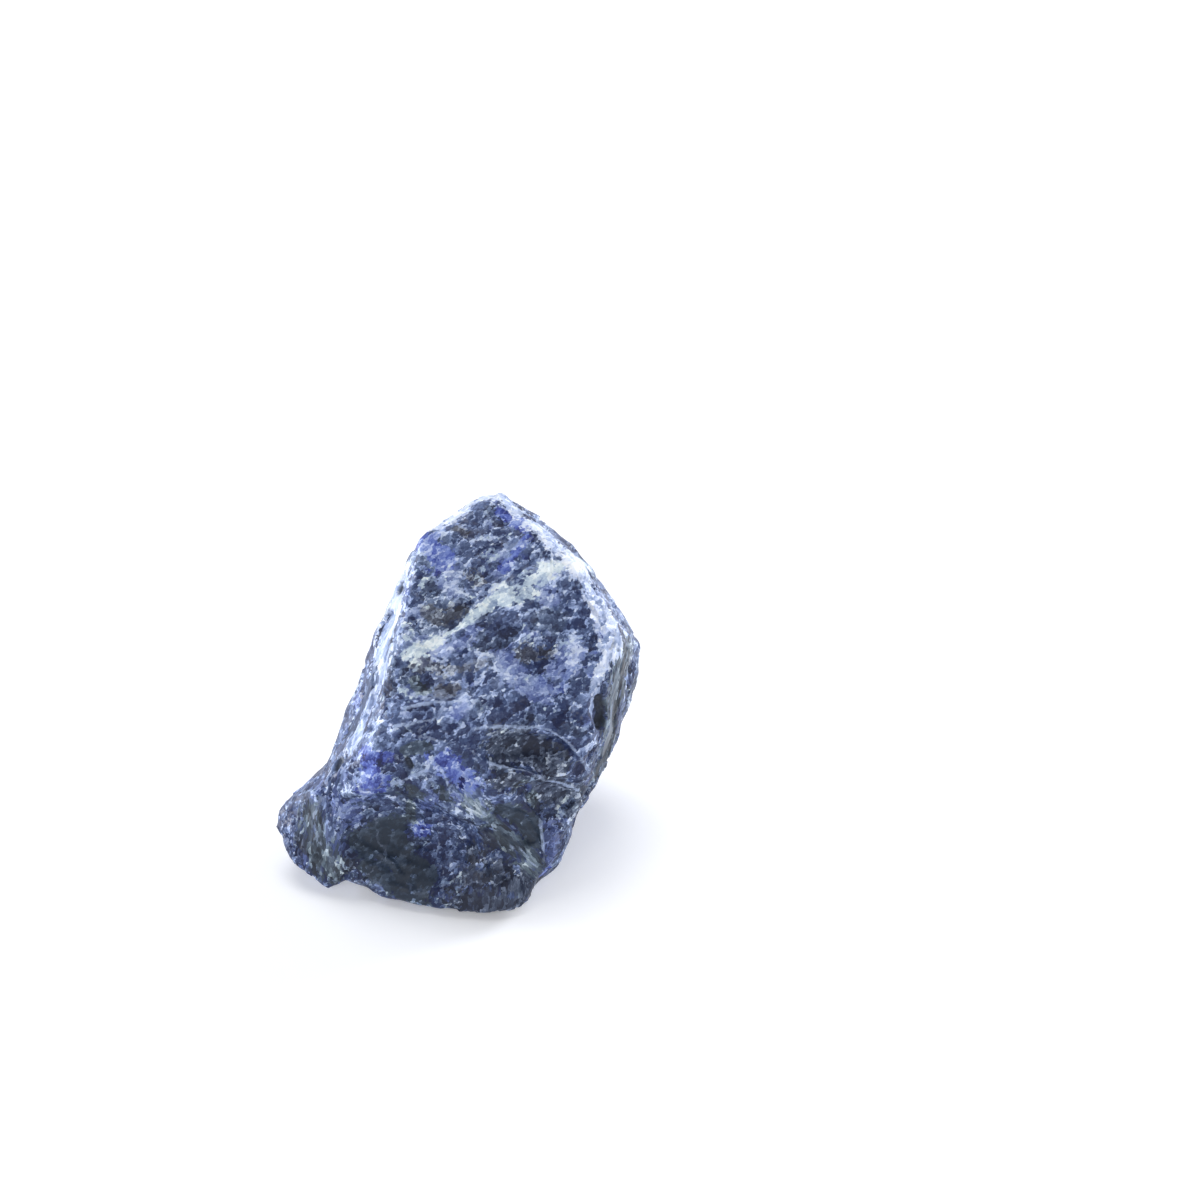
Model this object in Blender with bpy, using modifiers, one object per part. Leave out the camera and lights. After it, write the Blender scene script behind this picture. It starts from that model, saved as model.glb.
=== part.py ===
"""Rough sodalite: one broken lump, about 38 mm wide, 32 mm deep and 35 mm tall.

The front of the stone faces -Y. The origin is on the ground, under the middle of the stone's box.
Corners and bites are in millimetres, measured from a point near the middle of the sole, which
STONE_SHIFT moves so that the box is centred. Each group of corners is one run of broken edges,
named as seen from the front.
"""

from math import cos, radians, sin

import bmesh
import bpy
from mathutils import Matrix, Vector, noise

# Driving dimensions
MM = 0.001
STONE_SHIFT = (-0.2, 1.3, 0.0)  # millimetres, so that the box's middle is over the origin
EVEN_SPACING = 0.45 * MM  # spacing of the even surface that the fracture relief is worked on
SWELL_SPACING = 6.0 * MM
SWELL_HEIGHT = 1.0 * MM
STEP_SPACING = 3.4 * MM
STEP_HEIGHT = 0.7 * MM
STEP_MEAN = 0.35  # the step pattern's average, so that it neither swells nor shrinks the stone
KEPT_SHARE = 0.16  # share of the even surface's faces that stay in the finished solid
BITE_UNEVENNESS = 0.09  # share of a bite's radius
BITE_WAVES = 2.2  # unevenness waves per radius
BITE_VARIETY = 3.0 * MM  # bites this far apart are uneven in different ways
GROUND_WIDTH = 60.0 * MM
GROUND_DEPTH = 8.0 * MM
STONE_COLOUR = (0.075, 0.095, 0.2, 1.0)
STONE_ROUGHNESS = 0.45

LUMP_CORNERS = {
    "crown": [(4.7, 12.2, 34.6), (1.4, 11.3, 33.2), (-0.6, 9.9, 32.2), (8.6, 11.0, 31.8)],
    "crown_lip": [(-3.3, 4.9, 32.7), (-0.2, 6.6, 33.3), (4.8, 9.3, 34.8), (8.7, 7.6, 32.8)],
    "right_shoulder": [(10.8, 10.0, 30.2), (12.9, 8.5, 29.0), (15.1, 7.0, 26.8), (16.8, 6.1, 24.4)],
    "right_flank": [(18.2, 5.2, 22.1), (19.2, 4.0, 19.3), (19.5, 2.7, 16.5), (18.7, 0.8, 14.5)],
    "right_skirt": [(16.9, -2.4, 11.3), (15.3, -5.2, 9.6), (11.8, -10.4, 4.3), (10.7, -11.8, 2.5)],
    "left_edge": [(-4.2, 7.1, 30.5), (-6.4, 4.8, 27.0), (-7.6, 3.0, 24.1), (-9.8, -0.5, 18.9)],
    "left_corner": [(-12.4, -2.3, 14.2)],
    "broad_face": [(-5.7, -5.0, 25.0), (12.5, 2.6, 31.4), (15.3, 0.9, 27.6), (17.6, -1.9, 23.4)],
    "face_corner": [(16.2, -5.0, 22.4)],
    "brow": [(-7.6, -11.3, 18.1), (3.2, -12.6, 19.3), (14.0, -9.8, 18.0), (5.1, -14.8, 15.2)],
    "brow_drop": [(-0.9, -14.0, 14.8)],
    "front_foot": [(4.9, -17.3, 0.8), (-1.4, -16.4, 0.8), (7.2, -16.1, 0.9), (-10.8, -13.7, 1.1)],
    "front_heel": [(8.2, -13.4, 1.0)],
    "back": [(16.0, 5.0, 9.0), (14.5, 9.5, 18.0), (4.5, 14.5, 13.0), (-6.0, 12.0, 17.0), (-13.0, 5.5, 9.0)],
    "back_top": [(11.5, 11.5, 27.0), (3.0, 14.0, 24.0), (-6.0, 9.0, 24.5)],
    "back_foot": [(13.0, 1.0, 4.0), (7.5, 9.0, 4.0), (-4.0, 10.0, 4.0), (-12.0, 0.0, 3.0)],
    "sole": [(7.0, -1.0, -0.5), (5.0, 4.0, -0.5), (-1.0, 4.5, -0.5), (-3.5, 0.0, -0.5), (-3.0, -5.0, -0.5)],
    "sole_front": [(2.0, -6.5, -0.5), (6.0, -4.5, -0.5)],
}

KNOB_CORNERS = {
    "saddle": [(-12.1, -2.7, 14.5), (-13.4, -4.0, 11.6), (-15.6, -5.0, 9.3), (-4.0, 0.0, 16.0)],
    "toe": [(-17.7, -5.9, 7.9), (-19.0, -7.4, 6.4), (-19.3, -8.7, 5.2), (-18.2, -10.4, 3.6)],
    "toe_front": [(-16.2, -12.0, 2.1)],
    "underside": [(-13.8, -13.5, 0.9), (-12.6, -13.3, 0.8), (-11.5, -11.9, 0.8), (-12.0, 0.0, 1.2)],
    "root": [(-4.0, 0.0, 1.0)],
    "instep": [(-7.5, -11.5, 18.1), (-6.6, -12.7, 16.2), (-6.6, -13.7, 12.9), (-8.4, -14.1, 9.7)],
    "instep_foot": [(-9.9, -14.2, 6.2)],
    "face": [(-13.8, -10.4, 10.4), (-12.7, -13.0, 7.2)],
}

# Each bite: the deepest point it reaches, the way it faces (degrees round from the front to the
# right, then degrees up), its radii across, along and up, and its roll in degrees
BITES = {
    "dark_hollow": ((-4.0, -11.2, 8.0), (-12, 5), (12.0, 10.0, 8.4), 8),
    "right_hollow": ((5.9, -12.8, 9.6), (14, 0), (6.6, 8.0, 8.6), -20),
    "ledge_under": ((9.4, -10.9, 13.6), (28, -24), (7.2, 5.5, 3.8), 14),
    "ledge_over": ((8.6, -10.7, 16.9), (18, 30), (8.6, 5.0, 4.0), 14),
    "left_saddle": ((-12.5, -2.1, 12.0), (-90, 20), (7.6, 7.6, 7.8), 0),
    "right_notch": ((12.8, -6.1, 4.9), (50, 0), (6.2, 6.2, 6.2), 0),
    "heel_notch": ((9.3, -12.3, 1.6), (35, 0), (2.9, 2.9, 2.9), 0),
    "instep_notch": ((-9.5, -12.3, 0.0), (-18, 0), (2.6, 2.6, 2.6), 0),
    "right_cleft": ((14.0, -7.0, 19.2), (64, 3), (1.6, 2.0, 4.0), -12),
    "face_pit": ((-1.5, -6.6, 22.8), (0, 52), (7.0, 2.0, 3.2), 8),
    "face_dimple": ((9.4, -4.2, 24.6), (19, 43), (2.8, 1.6, 2.8), 0),
    "face_scoop": ((-1.7, -2.2, 26.5), (0, 52), (4.5, 1.8, 3.4), -30),
    "back_scoop": ((-1.5, 11.0, 20.0), (-165, 8), (22.0, 16.0, 15.0), 25),
    "back_flake": ((-8.5, 7.8, 9.5), (-135, -5), (14.0, 14.0, 18.0), 30),
    "back_chip": ((12.6, 8.6, 22.0), (140, 12), (12.0, 14.0, 17.0), -15),
    "back_heel": ((7.0, 10.2, 6.5), (160, -20), (16.0, 12.0, 9.0), 10),
}


def clear_scene():
    for obj in list(bpy.data.objects):
        bpy.data.objects.remove(obj)


def new_collection(name):
    collection = bpy.data.collections.new(name)
    bpy.context.scene.collection.children.link(collection)
    return collection


def object_from(name, shape, collection):
    mesh = bpy.data.meshes.new(name)
    shape.to_mesh(mesh)
    shape.free()
    obj = bpy.data.objects.new(name, mesh)
    collection.objects.link(obj)
    return obj


def placed(point):
    return (Vector(point) + Vector(STONE_SHIFT)) * MM


def lump_from_corners(name, corners, collection):
    """The closed block whose broken corners are these points."""
    block = bmesh.new()
    for group in corners.values():
        for corner in group:
            block.verts.new(placed(corner))
    hull = bmesh.ops.convex_hull(block, input=block.verts)
    inside = [v for v in hull["geom_interior"] if isinstance(v, bmesh.types.BMVert)]
    bmesh.ops.delete(block, geom=inside, context="VERTS")
    bmesh.ops.recalc_face_normals(block, faces=block.faces)
    return object_from(name, block, collection)


def bite_from(name, deepest, facing, radii, roll, collection):
    """The rounded hollow that a curved fracture leaves, as a cutter."""
    round_from_front, up = (radians(angle) for angle in facing)
    outward = Vector((sin(round_from_front) * cos(up), -cos(round_from_front) * cos(up), sin(up)))
    across, along, high = (radius * MM for radius in radii)
    rolled = Matrix.Rotation(radians(roll), 4, "Y")
    turned = outward.to_track_quat("-Y", "Z").to_matrix().to_4x4() @ rolled
    centre = Matrix.Translation(placed(deepest) + outward * along)
    sized = Matrix.Diagonal((across, along, high, 1.0))
    ball = bmesh.new()
    bmesh.ops.create_icosphere(ball, subdivisions=4, radius=1.0)
    for vert in ball.verts:
        where = vert.co * BITE_WAVES + centre.translation / BITE_VARIETY
        vert.co *= 1.0 + BITE_UNEVENNESS * noise.noise(where)
    bmesh.ops.transform(ball, matrix=centre @ turned @ sized, verts=ball.verts)
    return object_from(name, ball, collection)


def ground_block(collection):
    """Everything below the ground plane, as a cutter, so that the sole is flat."""
    block = bmesh.new()
    bmesh.ops.create_cube(block, size=1.0)
    sized = Matrix.Diagonal((GROUND_WIDTH, GROUND_WIDTH, GROUND_DEPTH, 1.0))
    lowered = Matrix.Translation((0.0, 0.0, -GROUND_DEPTH / 2))
    bmesh.ops.transform(block, matrix=lowered @ sized, verts=block.verts)
    return object_from("ground", block, collection)


def hide_helper(obj):
    obj.hide_render = True
    obj.display_type = "WIRE"


def boolean(obj, name, operation, helper):
    hide_helper(helper)
    step = obj.modifiers.new(name, "BOOLEAN")
    step.operation = operation
    step.solver = "EXACT"
    step.object = helper


def displace(obj, name, texture, height, unmoved_level):
    step = obj.modifiers.new(name, "DISPLACE")
    step.texture = texture
    step.texture_coords = "LOCAL"
    step.mid_level = unmoved_level
    step.strength = height


def roughen(obj):
    """Broken relief: wide swells, then flat-sided steps where the grains parted."""
    even = obj.modifiers.new("even_surface", "REMESH")
    even.mode = "VOXEL"
    even.voxel_size = EVEN_SPACING
    worn = obj.modifiers.new("worn_edges", "SMOOTH")
    worn.factor = 0.5
    worn.iterations = 2
    swells = bpy.data.textures.new("swells", "CLOUDS")
    swells.noise_scale = SWELL_SPACING
    swells.noise_depth = 2
    displace(obj, "swells", swells, SWELL_HEIGHT, 0.5)
    steps = bpy.data.textures.new("steps", "VORONOI")
    steps.distance_metric = "CHEBYCHEV"
    steps.noise_scale = STEP_SPACING
    displace(obj, "steps", steps, STEP_HEIGHT, STEP_MEAN)
    eased = obj.modifiers.new("eased_relief", "SMOOTH")
    eased.factor = 0.5
    eased.iterations = 1
    fewer = obj.modifiers.new("fewer_faces", "DECIMATE")
    fewer.ratio = KEPT_SHARE


def stone_material():
    material = bpy.data.materials.new("sodalite")
    material.use_nodes = True
    surface = material.node_tree.nodes["Principled BSDF"]
    surface.inputs["Base Color"].default_value = STONE_COLOUR
    surface.inputs["Roughness"].default_value = STONE_ROUGHNESS
    surface.inputs["Metallic"].default_value = 0.0
    return material


def main():
    clear_scene()
    stone_collection = new_collection("rough_sodalite")
    cutters = new_collection("cutters")
    stone = lump_from_corners("sodalite", LUMP_CORNERS, stone_collection)
    boolean(stone, "join_knob", "UNION", lump_from_corners("knob", KNOB_CORNERS, cutters))
    for name, (deepest, facing, radii, roll) in BITES.items():
        boolean(stone, name, "DIFFERENCE", bite_from(name, deepest, facing, radii, roll, cutters))
    roughen(stone)
    boolean(stone, "flat_sole", "DIFFERENCE", ground_block(cutters))
    stone.data.materials.append(stone_material())


main()
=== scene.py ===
from math import cos, pi, radians, sin

import bmesh
import bpy
import numpy as np
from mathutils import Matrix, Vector


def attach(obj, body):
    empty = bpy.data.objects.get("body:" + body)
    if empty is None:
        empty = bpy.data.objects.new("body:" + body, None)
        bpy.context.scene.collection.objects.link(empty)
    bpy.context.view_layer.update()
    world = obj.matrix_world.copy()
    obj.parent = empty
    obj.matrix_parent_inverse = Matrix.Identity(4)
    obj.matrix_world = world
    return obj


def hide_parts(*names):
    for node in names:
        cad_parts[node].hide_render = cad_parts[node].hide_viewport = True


# Rough sodalite, one broken lump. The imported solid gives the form. This script works the
# broken grain relief into a finer copy of it, paints it, and sets up a pale studio.
# Lengths below are in millimetres unless a note says otherwise.

mm = 0.001            # metres
noiseMiddle = 0.5     # noises and the cells' random numbers go from 0 to 1, about this
markEdge = 0.5        # a marking's value at its edge; it is 1 in the middle and falls to 0 outside

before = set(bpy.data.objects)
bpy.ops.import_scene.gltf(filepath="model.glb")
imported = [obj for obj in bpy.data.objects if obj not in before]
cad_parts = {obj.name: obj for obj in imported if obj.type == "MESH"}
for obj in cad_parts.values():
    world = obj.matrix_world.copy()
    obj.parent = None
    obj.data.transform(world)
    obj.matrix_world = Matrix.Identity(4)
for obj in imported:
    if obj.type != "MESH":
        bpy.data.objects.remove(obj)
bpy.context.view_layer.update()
print("frame loaded")


def linearColour(hexValue):
    # sRGB hex to the linear colour that sockets hold
    channels = [int(hexValue[i:i + 2], 16) / 255 for i in (1, 3, 5)]
    return tuple(c / 12.92 if c <= 0.04045 else ((c + 0.055) / 1.055) ** 2.4 for c in channels) + (1.0,)


def addNode(tree, kind, inputs=None, take=0, **settings):
    # adds a node, sets or links its inputs, and gives back the output asked for
    node = tree.nodes.new(kind)
    for name, value in settings.items():
        setattr(node, name, value)
    for key, value in (inputs or {}).items():
        if isinstance(value, bpy.types.NodeSocket):
            tree.links.new(value, node.inputs[key])
        else:
            node.inputs[key].default_value = value
    return node.outputs[take]


# the stone's body: a finer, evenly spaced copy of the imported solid

bodySettings = {
    "merge": 0.01,        # the solid's points that are nearer than this become one
    "spacing": 0.232,     # distance between points; finer would pass 200,000 triangles
    "easing": 8,          # smoothing rounds that take the solid's flat facets off
    "easeShare": 0.5,     # how far a round takes a point towards its neighbours' average
    "soleFade": 0.8,      # relief fades out below this height, so the flat spot stays flat
    "soleFrom": 0.05,     # and is gone below this one
}


def fineCopy(node):
    piece = bpy.data.objects.new("sodaliteStone", node.data.copy())
    bpy.context.scene.collection.objects.link(piece)
    shape = bmesh.new()
    shape.from_mesh(piece.data)
    bmesh.ops.remove_doubles(shape, verts=shape.verts, dist=bodySettings["merge"] * mm)
    shape.to_mesh(piece.data)
    shape.free()
    piece.data.materials.clear()
    remesh = piece.modifiers.new("evenPoints", "REMESH")
    remesh.mode = "VOXEL"
    remesh.voxel_size = bodySettings["spacing"] * mm
    ease = piece.modifiers.new("easedFacets", "SMOOTH")
    ease.factor = bodySettings["easeShare"]
    ease.iterations = bodySettings["easing"]
    bakeModifiers(piece)
    return piece


def bakeModifiers(piece):
    # turns the piece with its modifiers into a plain mesh
    graph = bpy.context.evaluated_depsgraph_get()
    graph.update()
    plain = bpy.data.meshes.new_from_object(piece.evaluated_get(graph), depsgraph=graph)
    piece.modifiers.clear()
    old = piece.data
    piece.data = plain
    bpy.data.meshes.remove(old)
    plain.name = piece.name


def readVectors(mesh, field):
    # the points' places ("co") or directions ("normal"), a row for each point
    flat = np.empty(len(mesh.vertices) * 3, dtype=np.float32)
    mesh.vertices.foreach_get(field, flat)
    return flat.reshape(-1, 3).astype(np.float64)


def storeNumbers(mesh, name, values):
    # keeps a number, or a place, with each of the mesh's points
    kind, field = ("FLOAT_VECTOR", "vector") if values.ndim == 2 else ("FLOAT", "value")
    layer = mesh.attributes.new(name, kind, "POINT")
    layer.data.foreach_set(field, values.astype(np.float32).ravel())


# markings that have a place on the stone: runs of points with the run's half width. They were placed
# where they can be seen, and are guessed on the back. Front is -Y. Everything between them
# comes from the mineral's own pattern.

markings = {
    "cream": [
        ([(11.5, 3.8, 31.4), (9.2, 2.9, 30.8)], 0.7),
        ([(9.2, 2.9, 30.8), (6.9, 2.2, 29.9), (5.6, 1.5, 29.3)], 1.1),
        ([(8.3, 1.5, 29.2), (6.7, 0.7, 29.0), (5.2, 0.8, 28.9)], 0.75),
        ([(5.2, 1.2, 29.1), (2.9, 0.2, 28.0), (1.6, -0.7, 27.4), (0.3, -1.5, 26.6)], 0.45),
        ([(-0.2, -1.8, 26.3), (-1.6, -2.1, 26.0), (-3.7, -3.4, 25.2), (-4.6, -3.7, 24.8)], 0.5),
        ([(-9.0, 1.0, 19.5), (-12.0, 4.5, 13.0)], 0.5),
        ([(12.0, 4.6, 31.3), (13.5, 8.5, 27.0), (12.5, 12.0, 21.0), (8.0, 14.5, 15.0)], 0.9),
        ([(8.0, 14.5, 15.0), (2.0, 15.0, 12.5), (-4.0, 13.5, 12.0)], 0.6),
    ],
    "lavender": [
        ([(8.8, 1.8, 29.5), (9.8, 0.7, 28.7)], 1.1),
        ([(-1.3, -3.6, 25.2), (0.9, -3.0, 25.8), (2.1, -2.0, 26.6)], 0.8),
        ([(6.0, -5.5, 23.7), (7.6, -6.1, 22.5), (9.4, -6.0, 22.2)], 1.1),
        ([(10.2, -11.0, 9.0), (10.3, -11.7, 6.7), (9.9, -12.0, 4.7)], 1.0),
        ([(-12.2, -10.3, 10.9), (-10.7, -10.5, 10.1), (-9.5, -11.5, 8.0)], 1.1),
        ([(5.8, -5.0, 24.2), (5.4, -4.2, 24.9)], 0.7),
        ([(-8.2, -3.7, 20.6), (-9.2, -4.8, 18.2)], 1.0),
        ([(-8.9, -11.3, 13.4), (-8.8, -10.4, 11.5)], 1.0),
        ([(-3.1, -10.7, 11.0), (-2.1, -12.7, 13.5)], 0.8),
        ([(0.6, -13.2, 14.4), (0.9, -13.3, 13.6)], 0.6),
        ([(10.5, -4.5, 24.0), (12.5, -3.0, 24.5)], 1.2),
    ],
    "royal": [
        ([(-3.7, 6.2, 32.6), (-2.6, 5.5, 32.3), (-1.6, 4.5, 31.2)], 1.3),
        ([(4.7, 9.3, 34.1), (6.0, 8.5, 33.6), (7.4, 7.2, 33.4)], 0.7),
        ([(-9.2, -9.6, 17.3), (-8.6, -10.0, 17.4), (-7.3, -10.8, 17.5), (-6.3, -10.8, 17.4)], 0.9),
        ([(-8.3, -10.5, 17.0), (-8.0, -11.1, 15.3), (-8.4, -11.5, 13.8)], 1.5),
        ([(-0.8, -11.7, 17.5), (0.4, -12.0, 17.0), (1.2, -12.4, 16.3), (1.9, -12.8, 15.3)], 1.4),
        ([(-3.8, -10.0, 7.3), (-3.0, -10.3, 7.8)], 0.7),
        ([(-1.8, -12.0, 9.8), (-1.0, -12.4, 9.0)], 0.6),
        ([(14.6, 0.9, 27.2), (15.6, -0.9, 25.2)], 0.9),
        ([(7.5, 6.0, 33.0), (5.0, 3.5, 31.0)], 0.6),
        ([(9.6, -11.2, 4.2), (9.0, -12.2, 3.2)], 0.6),
        ([(-3.0, 12.5, 22.0), (-5.0, 11.0, 19.0)], 1.6),
        ([(15.5, 8.0, 17.0), (14.0, 10.0, 14.0)], 1.5),
        ([(17.5, 1.0, 12.0), (15.0, 0.0, 8.0)], 1.3),
    ],
    "brown": [
        ([(-3.5, -4.0, 24.3), (-1.3, -4.5, 23.9), (1.0, -4.6, 23.9), (2.8, -4.5, 24.6)], 0.85),
        ([(-1.2, -6.3, 22.4), (0.3, -6.1, 22.5)], 0.7),
        ([(7.0, -3.8, 25.3), (8.3, -3.5, 24.8), (9.7, -2.8, 24.7)], 0.8),
        ([(-0.1, 7.2, 33.5), (0.9, 6.9, 33.1)], 0.6),
        ([(-2.5, 0.2, 27.5), (-0.9, -0.4, 27.0), (0.6, 0.0, 27.9)], 0.8),
        ([(2.6, 2.5, 29.7), (1.6, 3.1, 30.2)], 0.6),
        ([(0.0, 14.0, 17.0), (4.0, 14.5, 19.0)], 1.2),
    ],
    # dark charcoal-grey mineral, and painted shade: the runs at the foot and the run under the lower step
    # are dark where shade falls
    "charcoalAndShade": [
        # the foot: dark mineral with painted shade near the ground
        ([(1.6, -15.3, 2.0), (2.6, -15.6, 1.6), (6.2, -15.2, 1.6)], 2.2),
        ([(2.7, -14.6, 4.9), (5.7, -14.0, 3.1), (8.0, -13.0, 2.0)], 2.2),
        ([(-16.4, -9.6, 5.6), (-14.2, -11.3, 4.3)], 0.8),
        ([(-12.6, -12.2, 3.0), (-10.9, -12.2, 4.8)], 0.8),
        ([(4.9, -10.3, 18.5), (7.8, -9.4, 17.2), (10.9, -10.1, 15.9)], 1.8),
        # painted shadow beneath the overhang of the lower step
        ([(5.4, -12.2, 16.1), (7.9, -12.3, 15.0), (9.8, -9.0, 11.5), (12.3, -8.5, 10.4)], 1.8),
        ([(2.1, -12.6, 6.7), (4.0, -12.4, 8.0), (2.8, -12.4, 10.0)], 1.3),
        ([(16.8, 2.0, 16.0), (16.0, 4.0, 10.0), (14.0, 6.0, 5.0)], 3.0),
        ([(-6.0, 12.0, 8.0), (-10.0, 9.0, 6.0)], 2.5),
    ],
    "glass": [
        ([(-9.2, -10.6, 5.8), (-7.6, -10.4, 5.6), (-5.6, -11.4, 4.0), (-4.0, -12.6, 3.2)], 2.0),
        ([(-8.7, -12.4, 4.1), (-5.8, -13.1, 2.5), (-3.9, -14.3, 1.8)], 1.3),
        ([(-6.6, -9.6, 7.6), (-8.0, -9.8, 7.2)], 1.6),
        ([(5.3, -12.0, 11.6), (7.0, -11.5, 9.9), (8.2, -11.7, 7.8)], 1.4),
        ([(-4.6, -10.7, 18.2), (-3.4, -10.7, 18.6), (-2.3, -11.0, 18.7)], 0.6),
        ([(-3.9, -11.8, 14.2), (-2.4, -12.6, 13.2)], 1.0),
        ([(-1.0, -13.0, 14.6), (0.4, -13.2, 14.0)], 0.7),
        ([(6.0, 13.5, 9.0), (2.0, 13.0, 7.0)], 2.6),
    ],
    "greenGrey": [
        ([(1.9, -13.3, 13.9), (3.3, -13.1, 11.8), (4.7, -12.2, 9.1), (6.7, -12.3, 6.8),
          (8.2, -12.4, 5.0)], 1.1),
        ([(-4.2, -12.1, 14.2), (-4.5, -10.1, 10.5), (-4.7, -9.8, 8.3)], 0.45),
        ([(7.3, -12.5, 14.7), (8.0, -10.3, 11.5)], 0.7),
        ([(-15.0, -9.6, 8.0), (-14.0, -11.0, 5.6), (-13.2, -11.8, 3.6)], 1.7),
        ([(-5.6, -10.9, 13.0), (-5.2, -11.3, 14.0)], 0.5),
        ([(-3.6, -5.6, 23.0), (-2.6, -6.2, 22.4)], 0.6),
        ([(17.5, -1.0, 22.0), (17.0, -2.5, 17.0), (15.5, -4.0, 12.5)], 2.8),
        ([(-10.0, 6.0, 10.0), (-6.0, 9.5, 14.0)], 2.0),
    ],
    # crushed pale mineral on the left strip, the top rim and the right ridge, with a painted highlight
    # where light catches these rims
    "crushedAndHighlit": [
        ([(-5.8, 5.8, 28.5), (-6.6, 2.8, 26.2), (-7.4, -0.3, 24.0), (-7.6, -2.5, 22.7)], 1.9),
        ([(-8.2, -3.7, 20.6), (-9.2, -4.8, 18.2), (-10.8, -6.3, 15.5)], 0.9),
        ([(-2.5, 8.6, 32.3), (-0.7, 9.8, 33.2), (1.3, 11.3, 34.0), (3.4, 12.1, 34.6),
          (6.5, 10.5, 34.0)], 1.3),
        ([(8.5, 8.0, 33.2), (12.3, 4.7, 31.0), (13.9, 2.6, 28.7), (15.1, 0.9, 26.7),
          (16.1, -0.8, 24.8)], 1.4),
        ([(16.1, -0.8, 24.8), (14.6, -4.2, 22.0), (13.6, -6.2, 19.0)], 0.7),
        ([(4.0, 13.5, 30.0), (2.0, 14.5, 24.0)], 0.8),
    ],
    "paleLine": [
        ([(2.3, -10.0, 20.3), (4.9, -9.6, 20.3), (8.4, -8.9, 19.8), (9.9, -8.9, 19.3),
          (11.1, -8.9, 18.3)], 0.5),
        ([(11.1, -8.9, 18.3), (12.1, -8.8, 17.3), (12.9, -9.2, 16.2), (13.6, -8.1, 13.4)], 0.6),
        ([(2.3, -11.7, 18.0), (3.7, -11.8, 17.5), (4.9, -11.5, 16.8), (6.9, -11.5, 16.2)], 0.5),
        ([(6.9, -11.5, 16.2), (8.7, -11.3, 15.4), (10.0, -9.4, 13.4), (12.6, -8.3, 11.2)], 0.6),
        ([(-6.1, -11.2, 14.3), (-4.8, -11.6, 15.1), (-3.5, -12.0, 16.0), (-2.3, -11.9, 16.7)], 0.6),
        ([(-2.0, -11.5, 17.6), (-1.0, -11.9, 16.9), (-0.4, -12.5, 15.8), (0.0, -13.1, 14.7)], 0.45),
        ([(-4.8, -7.8, 21.2), (-2.7, -7.7, 21.8), (0.0, -7.7, 21.9), (2.9, -7.9, 22.4)], 0.5),
        ([(-5.7, -9.1, 19.9), (-2.1, -8.9, 20.6), (1.0, -8.8, 20.8)], 0.5),
        ([(0.1, -12.8, 15.4), (1.9, -13.5, 13.3), (4.1, -12.5, 9.6), (6.3, -12.3, 6.4),
          (8.2, -12.6, 4.7)], 0.5),
        ([(1.6, -12.9, 14.9), (3.2, -13.3, 12.2), (5.4, -12.2, 8.6), (7.4, -12.5, 5.9)], 0.5),
        ([(7.0, -11.3, 12.7), (8.8, -11.2, 9.6), (9.0, -11.8, 7.2), (9.1, -12.5, 5.3)], 0.5),
        ([(-7.9, -10.9, 4.8), (-6.6, -11.6, 4.2), (-5.8, -12.3, 3.2)], 0.35),
    ],
    "pit": [
        ([(-5.9, 4.4, 28.3), (-6.0, 3.8, 27.9)], 0.45),
        ([(-12.0, -7.0, 14.1), (-12.3, -7.4, 13.6)], 0.5),
        ([(14.9, -5.0, 20.2), (15.2, -5.0, 18.7), (14.7, -5.7, 17.7)], 0.6),
        ([(-4.4, -11.2, 17.2), (-4.2, -11.4, 16.8)], 0.45),
    ],
    "streak": [
        ([(-6.2, 2.8, 26.7), (-7.4, -2.5, 22.9), (-9.2, -4.8, 18.2), (-12.3, -7.7, 13.4)], 2.2),
        ([(17.5, -1.0, 22.0), (17.0, -2.5, 17.0), (15.5, -4.0, 12.5)], 3.2),
        ([(-14.2, -10.0, 8.0), (-14.0, -11.3, 4.3)], 2.8),
        ([(2.6, -15.6, 1.6), (6.2, -14.8, 2.6)], 2.2),
    ],
    "ridge": [
        ([(1.6, -13.3, 14.4), (3.3, -13.1, 11.8), (4.7, -12.2, 9.1), (6.7, -12.3, 6.8),
          (8.2, -12.4, 5.0)], 1.6),
    ],
    "scoop": [
        ([(3.6, -11.2, 18.7), (5.6, -10.4, 18.4), (8.0, -9.7, 17.9), (10.4, -9.5, 17.0),
          (12.0, -9.0, 15.0)], 1.2),
        ([(5.6, -12.4, 15.4), (7.6, -11.9, 14.5), (9.6, -10.2, 12.4), (11.4, -8.8, 10.4)], 0.9),
        ([(4.9, -12.0, 11.4), (6.7, -11.5, 9.9), (7.8, -11.7, 7.8)], 0.9),
    ],
}


def nearness(points, runs):
    # 1 on a run, the edge's value at its half width, 0 at its full width
    best = np.zeros(len(points))
    for run, halfWidth in runs:
        for start, end in zip(run[:-1], run[1:]):
            start = np.array(start)
            along = np.array(end) - start
            share = np.clip((points - start) @ along / (along @ along), 0.0, 1.0)
            distance = np.linalg.norm(points - start - share[:, None] * along, axis=1)
            best = np.maximum(best, 1.0 - markEdge * distance / halfWidth)
    return np.clip(best, 0.0, 1.0)


# the mineral's pattern, shared by the relief and the paint so that they line up

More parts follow.
